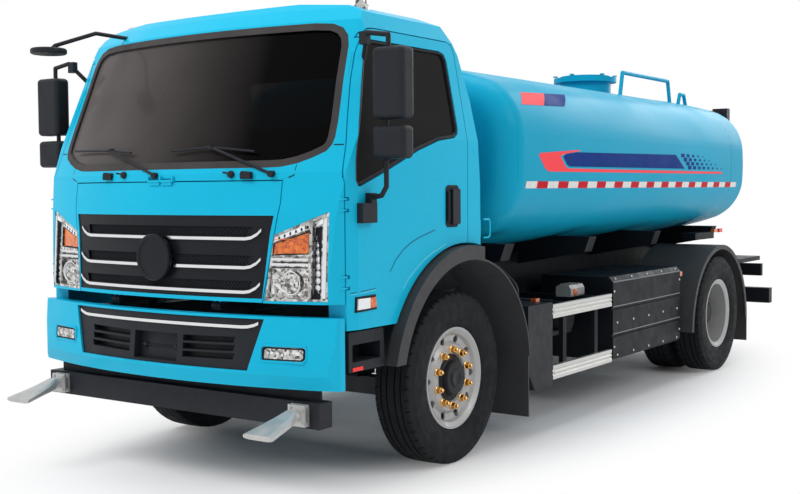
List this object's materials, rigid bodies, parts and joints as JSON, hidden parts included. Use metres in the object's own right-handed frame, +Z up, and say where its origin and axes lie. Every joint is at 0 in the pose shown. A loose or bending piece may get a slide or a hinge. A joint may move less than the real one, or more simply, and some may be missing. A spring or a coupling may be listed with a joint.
{
  "type": "two-axle water tanker truck",
  "caption": "Cab-over tanker truck with a tilting cab, opening doors and front hatch, steered front wheels, twin rear wheels and a closed water tank with a hinged manhole lid.",
  "frame": {"origin": "on the ground, under the middle of the overall length and width", "axes": "+X is the truck's left side, +Y is rearward, +Z is up; the truck looks along -Y"},
  "size_m": [2.83, 7.48, 2.655],
  "materials": {
    "body_paint": "gloss cyan-blue paint",
    "tank_paint": "gloss cyan-blue paint",
    "black_plastic": "moulded black",
    "grey_plastic": "moulded dark grey",
    "chassis_paint": "satin black paint",
    "rim_silver": "silver wheel paint",
    "tyre": "tyre rubber",
    "cast": "cast and machined",
    "rail_aluminium": "extruded",
    "bright_steel": "bright steel",
    "screen_glass": "tinted glass",
    "seal_rubber": "rubber seal",
    "lamp_lens": "clear lamp lens",
    "lamp_red": "red lamp lens",
    "chrome_trim": "polished bright trim",
    "cabin_trim": "dark cabin trim",
    "seat_cloth": "woven seat cloth",
    "grille_black": "gloss black with bright strips"
  },
  "bodies": {
    "chassis": {"frame": "chassis_paint", "front_axle": "cast", "rear_axle": "cast", "leaf_springs": "chassis_paint", "drive_motor": "cast", "propshaft": "cast", "battery_boxes": "chassis_paint", "side_guards": "rail_aluminium", "side_covers": "black_plastic", "pump_unit": "cast", "tank": "tank_paint", "tank_saddle": "chassis_paint", "manhole_neck": "tank_paint", "tank_rails": "tank_paint", "work_lamps": "black_plastic", "bumper": "body_paint", "bumper_grille": "black_plastic", "fog_lamps": "lamp_lens", "spray_bar": "black_plastic", "nozzles": "bright_steel", "front_fenders": "grey_plastic", "steps": "black_plastic", "rear_fenders": "grey_plastic", "rear_platform": "chassis_paint", "underrun_bar": "chassis_paint", "tail_lamps": "lamp_red", "bumper_strip": "chrome_trim", "hoses": "seal_rubber"},
    "lid": {"manhole_lid": "tank_paint"},
    "cab": {"cab_shell": "body_paint", "windscreen_seal": "seal_rubber", "windscreen": "screen_glass", "rear_window": "screen_glass", "headlights": "lamp_lens", "roof_lamps": "lamp_lens", "front_mirror": "black_plastic", "wipers": "black_plastic", "dashboard": "cabin_trim", "seats": "seat_cloth"},
    "front_hatch": {"hatch_panel": "body_paint", "grille": "grille_black", "grille_strips": "chrome_trim"},
    "left_door": {"door_left": "body_paint", "door_glass_left": "screen_glass", "door_fittings_left": "black_plastic"},
    "right_door": {"door_right": "body_paint", "door_glass_right": "screen_glass", "door_fittings_right": "black_plastic"},
    "left_knuckle": {"knuckle_left": "cast"},
    "right_knuckle": {"knuckle_right": "cast"},
    "wheel_front_left": {"tyre_front_left": "tyre", "rim_front_left": "rim_silver"},
    "wheel_front_right": {"tyre_front_right": "tyre", "rim_front_right": "rim_silver"},
    "wheel_rear_left": {"tyres_rear_left": "tyre", "rims_rear_left": "rim_silver"},
    "wheel_rear_right": {"tyres_rear_right": "tyre", "rims_rear_right": "rim_silver"}
  },
  "joints": [
    {"name": "cab_tilt", "type": "hinge", "parent": "chassis", "child": "cab", "pos_m": [0, -3.442, 1.012], "axis": [1, 0, 0], "range_deg": [0, 45]},
    {"name": "door_left_hinge", "type": "hinge", "parent": "cab", "child": "left_door", "pos_m": [1.127, -3.28, 1.35], "axis": [0, 0, -1], "range_deg": [0, 65]},
    {"name": "door_right_hinge", "type": "hinge", "parent": "cab", "child": "right_door", "pos_m": [-1.127, -3.28, 1.35], "axis": [0, 0, 1], "range_deg": [0, 65]},
    {"name": "hatch_hinge", "type": "hinge", "parent": "cab", "child": "front_hatch", "pos_m": [0, -3.473, 1.673], "axis": [-1, 0, 0], "range_deg": [0, 70]},
    {"name": "lid_hinge", "type": "hinge", "parent": "chassis", "child": "lid", "pos_m": [0, 2.128, 2.616], "axis": [-1, 0, 0], "range_deg": [0, 100]},
    {"name": "steer_left", "type": "hinge", "parent": "chassis", "child": "left_knuckle", "pos_m": [0.862, -2.18, 0.508], "axis": [0, 0, 1], "range_deg": [-35, 35]},
    {"name": "steer_right", "type": "hinge", "parent": "chassis", "child": "right_knuckle", "pos_m": [-0.862, -2.18, 0.508], "axis": [0, 0, 1], "range_deg": [-35, 35]},
    {"name": "roll_front_left", "type": "hinge", "parent": "left_knuckle", "child": "wheel_front_left", "pos_m": [0.97, -2.18, 0.508], "axis": [1, 0, 0], "continuous": true},
    {"name": "roll_rear_left", "type": "hinge", "parent": "chassis", "child": "wheel_rear_left", "pos_m": [0.927, 2.02, 0.508], "axis": [1, 0, 0], "continuous": true},
    {"name": "roll_front_right", "type": "hinge", "parent": "right_knuckle", "child": "wheel_front_right", "pos_m": [-0.97, -2.18, 0.508], "axis": [1, 0, 0], "continuous": true},
    {"name": "roll_rear_right", "type": "hinge", "parent": "chassis", "child": "wheel_rear_right", "pos_m": [-0.927, 2.02, 0.508], "axis": [1, 0, 0], "continuous": true}
  ],
  "couplings": [
    {"joint": "steer_right", "follows": "steer_left", "ratio": 1}
  ]
}
